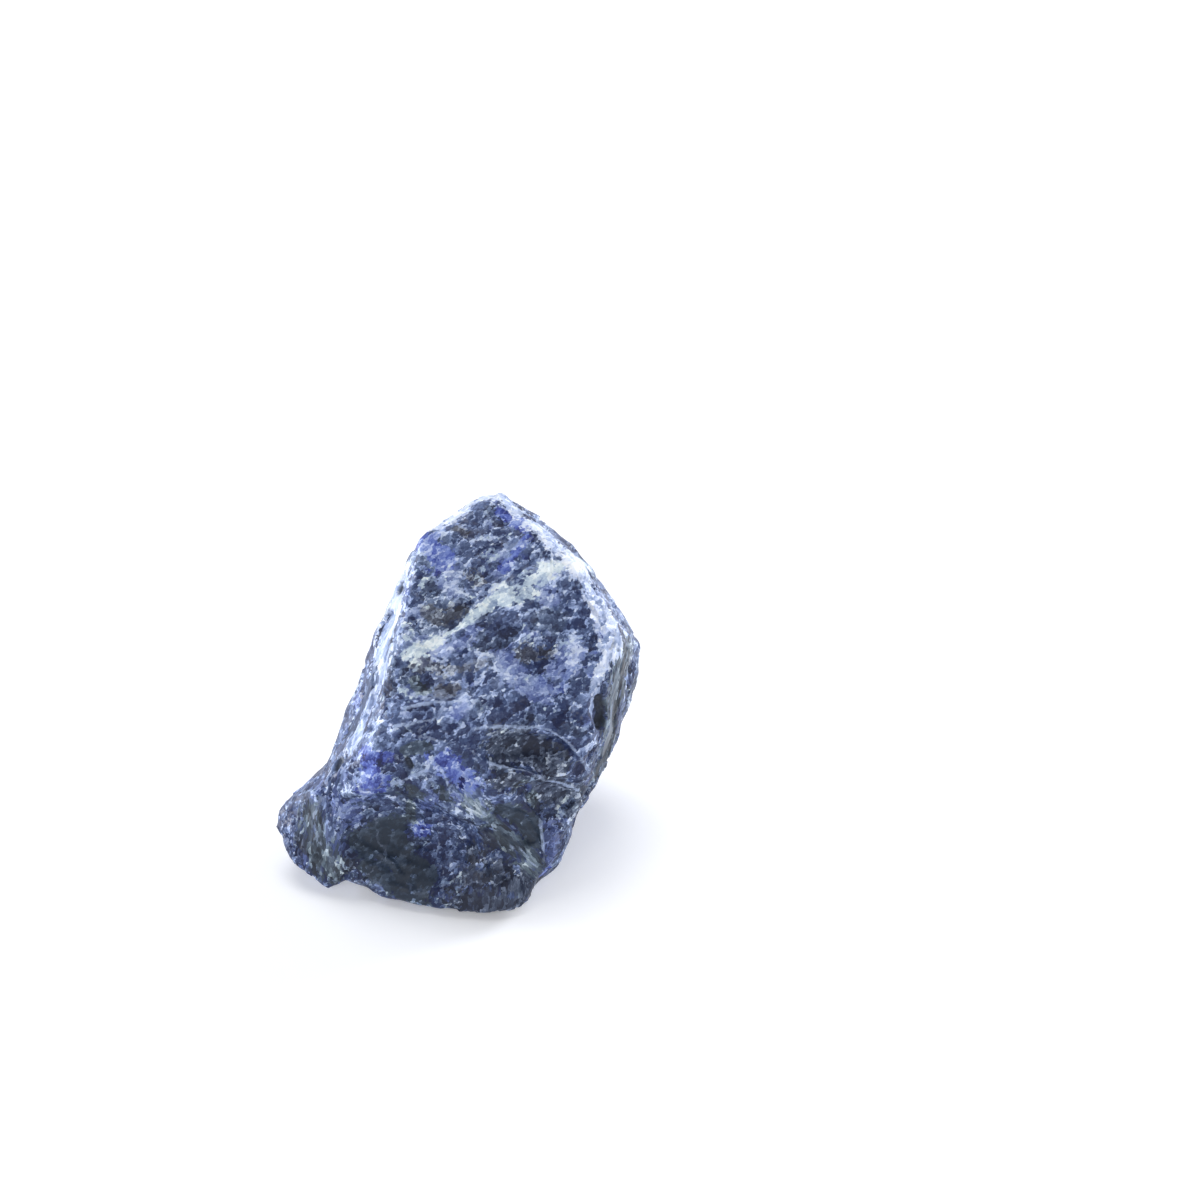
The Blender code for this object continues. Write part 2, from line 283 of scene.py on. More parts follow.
patternSettings = {
    "seed": 0.0,                           # another seed moves to another part of the same pattern
    "seedStep": (17.0, 31.0, 47.0),        # how far one seed moves it
    "grainSize": 2.6,                      # massive sodalite breaks into grains of 1.5 to 4 mm
    "chipSize": 1.15,                      # and each grain into a few splinters
    "crumbSize": 0.25,                     # real ones are near 0.1; drawn coarser so that they show
    "crumbRagged": 0.16,                   # crumbling of the crumbs' own edges
    "banding": (0.83, 0.44, 0.35),         # the way the cream band runs across the face
    "bandingPull": 0.25,                   # share that grains are longer along the banding
    "fallLine": (-0.15, -0.45, -0.88),     # the way the streaks run down the flanks
    "fallLinePull": 0.66,
    "ridgeLine": (0.62, 0.04, -0.78),      # the way the streaks run along the lower ridge
    "ridgeLinePull": 0.7,
    "bendSize": 4.5, "bend": 1.3,          # wide bending of the grain borders
    "raggedSize": 0.8, "ragged": 0.42,     # crumbling of the borders
    "streakRagged": 1.2,                   # crumbling of the edges of the streaked parts
    "litSide": (-0.45, 0.35, 0.82),        # the side of a grain towards the light: the paint makes its border paler there, a painted highlight, and shades each chip away from it, painted shade
}


def drawnPlace(tree, place, seed, streak, ridge):
    # draws the pattern out along the banding, or along the streaks where the stone has them
    s = patternSettings
    shift = addNode(tree, "ShaderNodeVectorMath", {0: s["seedStep"], "Scale": seed}, operation="SCALE")
    start = addNode(tree, "ShaderNodeVectorMath", {0: place, 1: shift}, operation="ADD")
    noise = addNode(tree, "ShaderNodeTexNoise",
                    {"Vector": start, "Scale": 1 / s["raggedSize"], "Detail": 1.0}, "Fac")
    off = addNode(tree, "ShaderNodeMath", {0: noise, 1: noiseMiddle}, operation="SUBTRACT")
    inside = []
    for mark in (streak, ridge):
        edge = addNode(tree, "ShaderNodeMath", {0: off, 1: s["streakRagged"], 2: mark},
                       operation="MULTIPLY_ADD")
        inside.append(addNode(tree, "ShaderNodeMath", {0: edge, 1: markEdge},
                              operation="GREATER_THAN"))
    ridged = inside[1]
    streaked = addNode(tree, "ShaderNodeMath", {0: inside[0], 1: ridged}, operation="SUBTRACT",
                       use_clamp=True)
    either = addNode(tree, "ShaderNodeMath", {0: streaked, 1: ridged}, operation="ADD")
    massive = addNode(tree, "ShaderNodeMath", {0: 1.0, 1: either}, operation="SUBTRACT")
    drawn = start
    for line, where in (("banding", massive), ("fallLine", streaked), ("ridgeLine", ridged)):
        along = addNode(tree, "ShaderNodeVectorMath", {0: start, 1: s[line]}, "Value",
                        operation="DOT_PRODUCT")
        pulled = addNode(tree, "ShaderNodeMath", {0: along, 1: -s[line + "Pull"]}, operation="MULTIPLY")
        here = addNode(tree, "ShaderNodeMath", {0: pulled, 1: where}, operation="MULTIPLY")
        pull = addNode(tree, "ShaderNodeVectorMath", {0: s[line], "Scale": here}, operation="SCALE")
        drawn = addNode(tree, "ShaderNodeVectorMath", {0: drawn, 1: pull}, operation="ADD")
    return {"drawn": drawn, "streaked": either}


def bentPlace(tree, drawn):
    # bends the place widely, then crumbles it, so that every border read at it is bent and ragged
    places = {}
    bent = drawn
    for name, size, reach in (("even", patternSettings["bendSize"], patternSettings["bend"]),
                              ("ragged", patternSettings["raggedSize"], patternSettings["ragged"])):
        noise = addNode(tree, "ShaderNodeTexNoise", {"Vector": drawn, "Scale": 1 / size, "Detail": 2.0},
                        "Color")
        off = addNode(tree, "ShaderNodeVectorMath", {0: noise, 1: (noiseMiddle,) * 3},
                      operation="SUBTRACT")
        bent = addNode(tree, "ShaderNodeVectorMath", {0: off, 1: (reach / noiseMiddle,) * 3, 2: bent},
                       operation="MULTIPLY_ADD")
        places[name] = bent
    return places


def cellsAt(tree, size, bent):
    # one size of grain: its random colour and tilt, its facet, and how far a place is in from its
    # border and over to its lit side, which the paint uses for painted light and shade
    scale = addNode(tree, "ShaderNodeMath", {0: 1.0, 1: size}, operation="DIVIDE")
    cell = addNode(tree, "ShaderNodeTexVoronoi", {"Vector": bent["ragged"], "Scale": scale}, "Color")
    border = addNode(tree, "ShaderNodeTexVoronoi", {"Vector": bent["ragged"], "Scale": scale},
                     "Distance", feature="DISTANCE_TO_EDGE")
    centre = cell.node.outputs["Position"]
    fromCentre = addNode(tree, "ShaderNodeVectorMath", {0: bent["even"], 1: centre},
                         operation="SUBTRACT")
    tilt = addNode(tree, "ShaderNodeVectorMath", {0: cell, 1: (noiseMiddle,) * 3}, operation="SUBTRACT")
    facet = addNode(tree, "ShaderNodeVectorMath", {0: fromCentre, 1: tilt}, "Value",
                    operation="DOT_PRODUCT")
    side = addNode(tree, "ShaderNodeVectorMath", {0: fromCentre, 1: patternSettings["litSide"]}, "Value",
                   operation="DOT_PRODUCT")
    return {
        "random": cell,
        "tilt": tilt,
        "facet": facet,
        "border": addNode(tree, "ShaderNodeMath", {0: border, 1: size}, operation="MULTIPLY"),
        "side": addNode(tree, "ShaderNodeMath", {0: side, 1: scale}, operation="MULTIPLY"),
    }


# broken relief: every grain is a small tilted facet, chipped at its border

reliefSettings = {
    "Seed": patternSettings["seed"],
    "Grain Size": patternSettings["grainSize"],
    "Chip Size": patternSettings["chipSize"],
    "Facet Height": 0.3,       # how far a grain's face is tipped
    "Chip Height": 0.16,       # and a chip's
    "Border Depth": 0.03,      # groove between grains
    "Swell Height": 0.25,      # wide rises and hollows of the broken faces
    "Outward Share": 0.08,     # mostly hollows, so the outline stays the solid's own
    "Ripple Height": 0.03,     # rings of a glassy fracture
    "Pit Depth": 0.5,
    "Ledge Height": 0.2,       # the step along a pale line
    "Scoop Depth": 0.4,        # shallow hollows, most of them below the steps
    "Sole Fade": bodySettings["soleFade"],
}

fractureShape = {
    "swellSize": 3.6,
    "rippleCentre": (-2.0, -6.0, 15.0),    # the place that a glassy fracture's rings go round
    "rippleSpacing": 1.14,                 # from one ring to the next
    # what is read, and the values it goes between as that rises from the first number to the second
    "easings": {
        "rough": ("glass", 0.42, 0.6, 1.0, 0.08),
        "groove": ("border", 0.0, 0.3, -1.0, 0.0),
        "sunk": ("pit", 0.3, 0.75, 0.0, -1.0),
        "ledge": ("paleLine", 0.55, 0.9, 0.0, 1.0),
        "scooped": ("scoop", 0.42, 0.62, 0.0, -1.0),
    },
}


def reliefHeight(tree, given, place):
    # millimetres out along the normal
    s = fractureShape
    values = {name: addNode(tree, "GeometryNodeInputNamedAttribute", {"Name": name}, data_type="FLOAT")
              for name in ("glass", "streak", "ridge", "pit", "paleLine", "scoop")}
    laid = drawnPlace(tree, place, given["Seed"], values["streak"], values["ridge"])
    bent = bentPlace(tree, laid["drawn"])
    grain = cellsAt(tree, given["Grain Size"], bent)
    chip = cellsAt(tree, given["Chip Size"], bent)
    values["border"] = grain["border"]
    for name, (follows, start, end, first, last) in s["easings"].items():
        values[name] = addNode(tree, "ShaderNodeMapRange",
                               {0: values[follows], 1: start, 2: end, 3: first, 4: last},
                               interpolation_type="SMOOTHSTEP")
    noise = addNode(tree, "ShaderNodeTexNoise",
                    {"Vector": place, "Scale": 1 / s["swellSize"], "Detail": 2.0}, "Fac")
    swell = addNode(tree, "ShaderNodeMath", {0: noise, 1: noiseMiddle}, operation="SUBTRACT")
    height = 0.0
    for value, reach in ((grain["facet"], "Facet Height"), (chip["facet"], "Chip Height"),
                         (values["groove"], "Border Depth"), (swell, "Swell Height")):
        height = addNode(tree, "ShaderNodeMath", {0: value, 1: given[reach], 2: height},
                         operation="MULTIPLY_ADD")
    outward = addNode(tree, "ShaderNodeMath", {0: height, 1: 0.0}, operation="MAXIMUM")
    inward = addNode(tree, "ShaderNodeMath", {0: height, 1: 0.0}, operation="MINIMUM")
    pressed = addNode(tree, "ShaderNodeMath", {0: outward, 1: given["Outward Share"], 2: inward},
                      operation="MULTIPLY_ADD")
    height = addNode(tree, "ShaderNodeMath", {0: pressed, 1: values["rough"]}, operation="MULTIPLY")

    # glassy parts have only the fracture's faint rings; pits, ledges and scoops are laid over both
    away = addNode(tree, "ShaderNodeVectorMath", {0: place, 1: s["rippleCentre"]}, "Value",
                   operation="DISTANCE")
    turn = addNode(tree, "ShaderNodeMath", {0: away, 1: 2 * pi / s["rippleSpacing"]},
                   operation="MULTIPLY")
    wave = addNode(tree, "ShaderNodeMath", {0: turn}, operation="SINE")
    calm = addNode(tree, "ShaderNodeMath", {0: 1.0, 1: values["rough"]}, operation="SUBTRACT")
    ripple = addNode(tree, "ShaderNodeMath", {0: wave, 1: calm}, operation="MULTIPLY")
    for value, reach in ((ripple, "Ripple Height"), (values["sunk"], "Pit Depth"),
                         (values["ledge"], "Ledge Height"), (values["scooped"], "Scoop Depth")):
        height = addNode(tree, "ShaderNodeMath", {0: value, 1: given[reach], 2: height},
                         operation="MULTIPLY_ADD")
    up = addNode(tree, "ShaderNodeSeparateXYZ", {0: place}, "Z")
    aboveSole = addNode(tree, "ShaderNodeMapRange",
                        {0: up, 1: bodySettings["soleFrom"], 2: given["Sole Fade"], 3: 0.0, 4: 1.0})
    return addNode(tree, "ShaderNodeMath", {0: height, 1: aboveSole}, operation="MULTIPLY")


def reliefTree(material):
    tree = bpy.data.node_groups.new("fractureRelief", "GeometryNodeTree")
    tree.interface.new_socket("Geometry", in_out="INPUT", socket_type="NodeSocketGeometry")
    for name in reliefSettings:
        tree.interface.new_socket(name, in_out="INPUT", socket_type="NodeSocketFloat")
    tree.interface.new_socket("Geometry", in_out="OUTPUT", socket_type="NodeSocketGeometry")
    given = addNode(tree, "NodeGroupInput", None, "Geometry").node.outputs
    place = addNode(tree, "GeometryNodeInputNamedAttribute", {"Name": "restPlace"},
                    data_type="FLOAT_VECTOR")
    height = reliefHeight(tree, given, place)
    metres = addNode(tree, "ShaderNodeMath", {0: height, 1: mm}, operation="MULTIPLY")
    normal = addNode(tree, "GeometryNodeInputNormal")
    offset = addNode(tree, "ShaderNodeVectorMath", {0: normal, "Scale": metres}, operation="SCALE")
    moved = addNode(tree, "GeometryNodeSetPosition", {"Geometry": given["Geometry"], "Offset": offset})
    # nothing goes below the ground; a metre is far past the stone's sides, so only its height is held
    position = addNode(tree, "GeometryNodeInputPosition")
    onGround = addNode(tree, "ShaderNodeVectorMath", {0: position, 1: (-1.0, -1.0, 0.0)},
                       operation="MAXIMUM")
    grounded = addNode(tree, "GeometryNodeSetPosition", {"Geometry": moved, "Position": onGround})
    smooth = addNode(tree, "GeometryNodeSetShadeSmooth", {"Geometry": grounded})
    real = addNode(tree, "GeometryNodeRealizeInstances", {"Geometry": smooth})
    finished = addNode(tree, "GeometryNodeSetMaterial", {"Geometry": real, "Material": material})
    finish = tree.nodes.new("NodeGroupOutput")
    tree.links.new(finished, finish.inputs["Geometry"])
    return tree


def workRelief(piece, material):
    tree = reliefTree(material)
    relief = piece.modifiers.new("fractureRelief", "NODES")
    relief.node_group = tree
    for socket in tree.interface.items_tree:
        if socket.in_out == "INPUT" and socket.name in reliefSettings:
            relief[socket.identifier] = reliefSettings[socket.name]
    bakeModifiers(piece)


def standOut(mesh, rounds):
    # how far each point stands out of the average of its neighbourhood, in millimetres
    points = readVectors(mesh, "co") / mm
    ends = np.empty(len(mesh.edges) * 2, dtype=np.int64)
    mesh.edges.foreach_get("vertices", ends)
    ends = ends.reshape(-1, 2)
    count = np.bincount(ends.ravel(), minlength=len(points))[:, None]
    average = points.copy()
    for _ in range(rounds):
        total = np.zeros_like(average)
        for axis in range(3):
            total[:, axis] = (np.bincount(ends[:, 0], average[ends[:, 1], axis], len(points))
                              + np.bincount(ends[:, 1], average[ends[:, 0], axis], len(points)))
        average = total / count
    return np.einsum("ij,ij->i", points - average, readVectors(mesh, "normal"))


# sodalite: massive, glassy where it cleaved, crushed and pale along its grain borders. To the eye that
# is deep blue-grey shards with a soft sheen, each with its own tone, in a lace of pale broken borders.

sodaliteSettings = {
    # each habit's colours, from its darkest shards to its palest
    "habits": {
        "slate": ["#1a2346", "#2e3b61", "#47567b", "#6b7da5", "#99abd4", "#ccd9f3"],
        "greyGrain": ["#1c233a", "#2f3a54", "#4a5875", "#6a7a97", "#98a9c6", "#c9d5e8"],
        # this ramp paints dark mineral, and also the painted shade at the foot and under the lower step
        "charcoalAndShade": ["#1f2536", "#2f374a", "#465063", "#606a7e", "#8f9bb2", "#ccd7e6"],
        "brown": ["#28292f", "#3a3b41", "#515359", "#6c6f76", "#9096a0", "#bec5cc"],
        "greenGrey": ["#252c36", "#3a4550", "#54626f", "#70808c", "#97a7b1", "#c6d2db"],
        "lavender": ["#3a4672", "#5868a0", "#7788be", "#95a6d2", "#b3c1e6", "#d4dff5"],
        "royal": ["#1b1f50", "#303a82", "#4e5fb0", "#7084c8", "#95a7dc", "#c2cef0"],
        "glass": ["#283341", "#364353", "#465365", "#576678", "#6e7e92", "#a6b4c6"],
        "cream": ["#5a6a92", "#8499bd", "#abbed5", "#c8d9e6", "#dfecef", "#f3fbfa"],
        # this ramp paints crushed pale mineral and the painted highlight on the lit rims
        "crushedAndHighlit": ["#8296c0", "#a8b9dd", "#c6d3ef", "#dbe4f6", "#e9effa", "#f7faff"],
    },
    # the place each noise is read at, its size and its detail
    "noises": {
        "fine": ("shard", 0.6, 3.0),       # tones within a splinter
        "dust": ("drawn", 0.14, 2.0),      # powder on the broken faces
        "patchy": ("shard", 2.5, 2.0),     # where the lace is broad and where it is gone
        "zone": ("rest", 7.7, 1.0),        # parts that lean to grey or to royal blue
    },
    "heights": (4.0, 26.0),                # painted shade: between these heights the tone goes from darker at the foot to lighter at the top
    # pale lace: how far it reaches in from the borders of grains and of chips, and its strength
    "lace": {"grain": (0.38, 0.34), "chip": (0.19, 0.32)},
    "thinLace": 0.03,                      # its reach where it is nearly gone
    "lacePatchy": (0.36, 0.62),            # the patchy noise at which it is thin, and widest
    "laceFade": (0.5, 1.1),                # the shares of its reach between which it fades
    "laceSide": (-0.4, 0.3, 0.35),         # painted highlight, the lace paler on a grain's lit side: from its far side to its lit side, and the share of the lace that the far side keeps
                                           # of the lace that the far side keeps
    "streakLace": -0.4,                    # less lace in the streaked parts
    # painted glints, crumbs painted pale as if they catch the light: the chance above which one does,
    # more chance in some parts, strength
    "brightFrom": (0.95, 0.98), "brightMore": {"streaked": 0.02, "charcoalAndShade": 0.1}, "bright": 0.3,
    # what is read, and the values it goes between as that rises from the first number to the second
    "easings": {
        "broken": ("glass", 0.4, 0.6, 1.0, 0.4),         # glassy parts have less lace and less tilt
        "crumbs": ("crumbGreen", 0.0, 0.7, 0.35, 1.0),   # pale lines are weaker on some crumbs
    },
    # sums of the pattern's values: where each starts, and the share of every value in it
    "sums": {
        # the tone holds painted light and shade: each chip is shaded away from its lit side, worn edges
        # are paler towards the top, hollows, back-turned faces and the foot are painted darker, and a few
        # crumbs are painted glints
        "tone": (-0.8, {"grainRed": 0.3, "chipGreen": 0.38, "crumbBlue": 0.19, "fine": 0.6, "dust": 0.36,
                        "chipSide": 0.25, "wornHigh": 0.35, "paintedHollowShade": -0.26, "glass": -0.12,
                        "charcoalAndShade": -0.1, "royal": 0.2, "cream": 0.27, "ridge": 0.13, "height": 0.16,
                        "paintedBackShade": -0.15, "lace": 1.0, "bright": 1.0}),
        "ragged": (-0.88, {"grainGreen": 0.35, "chipBlue": 0.3, "fine": 0.9, "crumbRed": 0.2}),
        "greyZone": (-1.2, {"zone": 2.2, "grainBlue": 0.9, "chipRed": 0.3}),
        "haze": (-0.55, {"patchy": 1.4, "grainGreen": 0.45, "chipRed": 0.3}),
        "royalZone": (0.0, {"zone": -1.0, "grainRed": 0.7, "chipRed": 0.2}),
        "ledge": (0.0, {"paleLine": 1.0, "ragged": 0.3}),
    },
    # habit, the value it follows, share of the ragged sum in it, from, to, strength
    "layers": [
        ("greyGrain", "greyZone", 0.0, 0.68, 0.85, 0.7),
        ("lavender", "haze", 0.0, 0.74, 0.84, 0.6),
        ("royal", "royalZone", 0.0, 0.36, 0.42, 0.5),
        ("charcoalAndShade", "charcoalAndShade", 1.1, 0.47, 0.55, 0.88),
        ("brown", "brown", 1.1, 0.47, 0.58, 0.66),
        ("glass", "glass", 0.6, 0.47, 0.53, 0.92),
        ("lavender", "lavender", 1.1, 0.47, 0.55, 0.75),
        ("royal", "royal", 0.9, 0.45, 0.54, 0.92),
        ("greenGrey", "greenGrey", 1.1, 0.45, 0.56, 0.85),
        ("cream", "cream", 1.7, 0.4, 0.66, 0.84),
        ("crushedAndHighlit", "crushedAndHighlit", 0.9, 0.46, 0.54, 0.88),
    ],
    # healed cracks, the ledges' pale edges and the pits: the colour, the value that it follows, the
    # numbers at which it starts and is full, its strength, and the value that breaks it up
    "lines": [
        ("#a3b2d0", "fromVein", 0.0045, 0.0018, 0.45, "brokenCrumbs"),
        ("#aabbdc", "ledge", 0.8, 0.92, 0.8, "crumbs"),
        ("#2a2f39", "pit", 0.35, 0.6, 0.85, None),
    ],
    "veinSpacing": 11.0,                   # the healed cracks wander over many grains
    "crumbHold": 0.72,                     # 1 paints every crumb in one tone, 0 lets tones run across
    "roughness": (0.32, 0.55),             # glassy cleavage to crushed
    "tilts": {"chip": 0.5, "crumb": 0.4},  # every chip and crumb is a small cleavage face of its own
    "ior": 1.48,                           # sodalite's own
    "specularLevel": 0.33,                 # a crushed surface gives back less than a polished one
}


def patternValues(tree):
    # every value that the colours are mixed from, by name
    s = sodaliteSettings
    crumbScale = 1 / patternSettings["crumbSize"]
    rest = addNode(tree, "ShaderNodeAttribute", None, "Vector", attribute_name="restPlace")
    values = {name: addNode(tree, "ShaderNodeAttribute", None, "Fac", attribute_name=name)
              for name in [*markings, "worn", "paintedHollowShade", "paintedBackShade"] if name != "scoop"}
    laid = drawnPlace(tree, rest, patternSettings["seed"], values["streak"], values["ridge"])
    values["streaked"] = laid["streaked"]

    # most of the pattern is read near the middle of each crumb, so it breaks into small sharp shards
    grit = addNode(tree, "ShaderNodeTexNoise",
                   {"Vector": laid["drawn"], "Scale": crumbScale, "Detail": 2.0}, "Color")
    gritOff = addNode(tree, "ShaderNodeVectorMath", {0: grit, 1: (noiseMiddle,) * 3},
                      operation="SUBTRACT")
    gritReach = patternSettings["crumbRagged"] / noiseMiddle
    gritty = addNode(tree, "ShaderNodeVectorMath",
                     {0: gritOff, 1: (gritReach,) * 3, 2: laid["drawn"]}, operation="MULTIPLY_ADD")
    crumb = addNode(tree, "ShaderNodeTexVoronoi", {"Vector": gritty, "Scale": crumbScale}, "Color")
    shard = addNode(tree, "ShaderNodeMix",
                    {0: s["crumbHold"], 4: gritty, 5: crumb.node.outputs["Position"]}, 1,
                    data_type="VECTOR")
    values["crumbTilt"] = addNode(tree, "ShaderNodeVectorMath", {0: crumb, 1: (noiseMiddle,) * 3},
                                  operation="SUBTRACT")
    bent = bentPlace(tree, shard)
    colours = {"crumb": crumb}
    for name in ("grain", "chip"):
        cells = cellsAt(tree, patternSettings[name + "Size"], bent)
        colours[name] = cells["random"]
        values.update({name + part.capitalize(): cells[part] for part in ("tilt", "border", "side")})
    for name, colour in colours.items():
        parts = addNode(tree, "ShaderNodeSeparateColor", {0: colour}).node.outputs
        values.update({name + part.name: part for part in parts})

    places = {"rest": rest, "drawn": laid["drawn"], "shard": shard}
    for name, (where, size, detail) in s["noises"].items():
        values[name] = addNode(tree, "ShaderNodeTexNoise",
                               {"Vector": places[where], "Scale": 1 / size, "Detail": detail}, "Fac")
    wander = addNode(tree, "ShaderNodeTexNoise",
                     {"Vector": bent["even"], "Scale": 1 / s["veinSpacing"], "Detail": 2.0}, "Fac")
    wanderOff = addNode(tree, "ShaderNodeMath", {0: wander, 1: noiseMiddle}, operation="SUBTRACT")
    values["fromVein"] = addNode(tree, "ShaderNodeMath", {0: wanderOff}, operation="ABSOLUTE")
    # painted shade, darker towards the foot; it also makes worn edges paler towards the top
    up = addNode(tree, "ShaderNodeSeparateXYZ", {0: rest}, "Z")
    low, high = s["heights"]
    values["height"] = addNode(tree, "ShaderNodeMapRange", {0: up, 1: low, 2: high, 3: 0.0, 4: 1.0})
    # convex edges paler, more so towards the top: crushed edges, and a painted highlight on the upper
    # rims
    values["wornHigh"] = addNode(tree, "ShaderNodeMath", {0: values["worn"], 1: values["height"]},
                                 operation="MULTIPLY")
    for name, (follows, start, end, first, last) in s["easings"].items():
        values[name] = addNode(tree, "ShaderNodeMapRange",
                               {0: values[follows], 1: start, 2: end, 3: first, 4: last})
    values["brokenCrumbs"] = addNode(tree, "ShaderNodeMath", {0: values["crumbs"], 1: values["broken"]},
                                     operation="MULTIPLY")
    return values


def addLace(tree, values):
    # pale lace along the borders of chips and grains, broad in some places and gone in others, paler on
    # the lit side as a painted highlight
    s = sodaliteSettings
    share = addNode(tree, "ShaderNodeMath",
                    {0: values["streaked"], 1: s["streakLace"], 2: values["broken"]},
                    operation="MULTIPLY_ADD")
    thin, wide = s["lacePatchy"]
    whole, gone = s["laceFade"]
    farSide, litSide, farShare = s["laceSide"]
    values["lace"] = 0.0
    for name, (widest, strength) in s["lace"].items():
        reach = addNode(tree, "ShaderNodeMapRange",
                        {0: values["patchy"], 1: thin, 2: wide, 3: s["thinLace"], 4: widest})
        inReach = addNode(tree, "ShaderNodeMath", {0: values[name + "Border"], 1: reach},
                          operation="DIVIDE")
        near = addNode(tree, "ShaderNodeMapRange",
                       {0: inReach, 1: whole, 2: gone, 3: strength, 4: 0.0},
                       interpolation_type="SMOOTHSTEP")
        lit = addNode(tree, "ShaderNodeMapRange",
                      {0: values[name + "Side"], 1: farSide, 2: litSide, 3: farShare, 4: 1.0})
        nearLit = addNode(tree, "ShaderNodeMath", {0: near, 1: lit}, operation="MULTIPLY")
        values["lace"] = addNode(tree, "ShaderNodeMath", {0: nearLit, 1: share, 2: values["lace"]},
                                 operation="MULTIPLY_ADD")


def addPaintedGlints(tree, values):
    # a few crumbs are painted pale, as painted glints
    s = sodaliteSettings
    chance = values["crumbGreen"]
    for where, more in s["brightMore"].items():
        chance = addNode(tree, "ShaderNodeMath", {0: values[where], 1: more, 2: chance},
                         operation="MULTIPLY_ADD")
    start, full = s["brightFrom"]
    values["bright"] = addNode(tree, "ShaderNodeMapRange",
                               {0: chance, 1: start, 2: full, 3: 0.0, 4: s["bright"]})


def layHabits(tree, values):
    # each habit has its own ramp from dark shards to pale; borders between habits follow the shards
    s = sodaliteSettings
    colours = {}
    for name, stops in s["habits"].items():
        ramp = addNode(tree, "ShaderNodeValToRGB", {0: values["tone"]}).node
        while len(ramp.color_ramp.elements) < len(stops):
            ramp.color_ramp.elements.new(0.5)    # every stop gets its own position next
        for index, (element, value) in enumerate(zip(ramp.color_ramp.elements, stops)):
            element.position = index / (len(stops) - 1)
            element.color = linearColour(value)
        colours[name] = ramp.outputs["Color"]
    painted = colours["slate"]
    for habit, follows, raggedShare, start, full, strength in s["layers"]:
        value = addNode(tree, "ShaderNodeMath", {0: values["ragged"], 1: raggedShare, 2: values[follows]},
                        operation="MULTIPLY_ADD")
        share = addNode(tree, "ShaderNodeMapRange", {0: value, 1: start, 2: full, 3: 0.0, 4: strength},
                        interpolation_type="SMOOTHSTEP")
        painted = addNode(tree, "ShaderNodeMix", {0: share, 6: painted, 7: colours[habit]}, 2,
                          data_type="RGBA")
    for colour, follows, start, full, strength, crumbled in s["lines"]:
        share = addNode(tree, "ShaderNodeMapRange",
                        {0: values[follows], 1: start, 2: full, 3: 0.0, 4: strength})
        if crumbled:
            share = addNode(tree, "ShaderNodeMath", {0: share, 1: values[crumbled]}, operation="MULTIPLY")
        painted = addNode(tree, "ShaderNodeMix", {0: share, 6: painted, 7: linearColour(colour)}, 2,
                          data_type="RGBA")
    return painted


def sodaliteMaterial():
    s = sodaliteSettings
    material = bpy.data.materials.new("roughSodalite")
    material.use_nodes = True
    tree = material.node_tree
    tree.nodes.clear()
    values = patternValues(tree)
    addLace(tree, values)
    addPaintedGlints(tree, values)
    for name, (start, shares) in s["sums"].items():
        values[name] = start
        for part, share in shares.items():
            values[name] = addNode(tree, "ShaderNodeMath", {0: values[part], 1: share, 2: values[name]},
                                   operation="MULTIPLY_ADD")
    painted = layHabits(tree, values)
    smoothest, roughest = s["roughness"]
    roughness = addNode(tree, "ShaderNodeMapRange",
                        {0: values["grainBlue"], 1: 0.0, 2: 1.0, 3: smoothest, 4: roughest})
    facing = addNode(tree, "ShaderNodeNewGeometry", None, "Normal")
    for name, share in s["tilts"].items():
        amount = addNode(tree, "ShaderNodeMath", {0: values["broken"], 1: share}, operation="MULTIPLY")
        tilt = addNode(tree, "ShaderNodeVectorMath", {0: values[name + "Tilt"], "Scale": amount},
                       operation="SCALE")
        facing = addNode(tree, "ShaderNodeVectorMath", {0: facing, 1: tilt}, operation="ADD")
    normal = addNode(tree, "ShaderNodeVectorMath", {0: facing}, operation="NORMALIZE")
    surface = addNode(tree, "ShaderNodeBsdfPrincipled",
                      {"Base Color": painted, "Roughness": roughness, "Normal": normal, "IOR": s["ior"],
                       "Specular IOR Level": s["specularLevel"]}, "BSDF")
    output = tree.nodes.new("ShaderNodeOutputMaterial")
    tree.links.new(surface, output.inputs["Surface"])
    return material


# the stone

wearSettings = {
    "rounds": 25,            # how wide a neighbourhood a point is compared with
    "out": (0.1, 0.6),       # how far out a worn place, or how far in a hollow that gets painted shade, starts and is full
    "paintedBackShade": (0.2, 0.7),    # how far a face is turned to the back, where it gets painted shade
}

material = sodaliteMaterial()
stone = fineCopy(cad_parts["sodalite"])
points = readVectors(stone.data, "co") / mm
storeNumbers(stone.data, "restPlace", points)
for markName, runs in markings.items():
    storeNumbers(stone.data, markName, nearness(points, runs))
# painted shade: faces turned to the back are painted darker
storeNumbers(stone.data, "paintedBackShade",
             np.interp(readVectors(stone.data, "normal")[:, 1], wearSettings["paintedBackShade"], (0.0, 1.0)))
print("stone body", len(stone.data.polygons), "faces")

workRelief(stone, material)
outBy = standOut(stone.data, wearSettings["rounds"])
# convex places are marked worn; hollows get painted shade, darker where shade falls
for markName, sign in (("worn", 1.0), ("paintedHollowShade", -1.0)):
    storeNumbers(stone.data, markName, np.interp(outBy * sign, wearSettings["out"], (0.0, 1.0)))
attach(stone, "root")
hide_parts("sodalite")
print("relief worked", len(stone.data.polygons), "faces")


# studio: pale floor, soft boxes, one camera

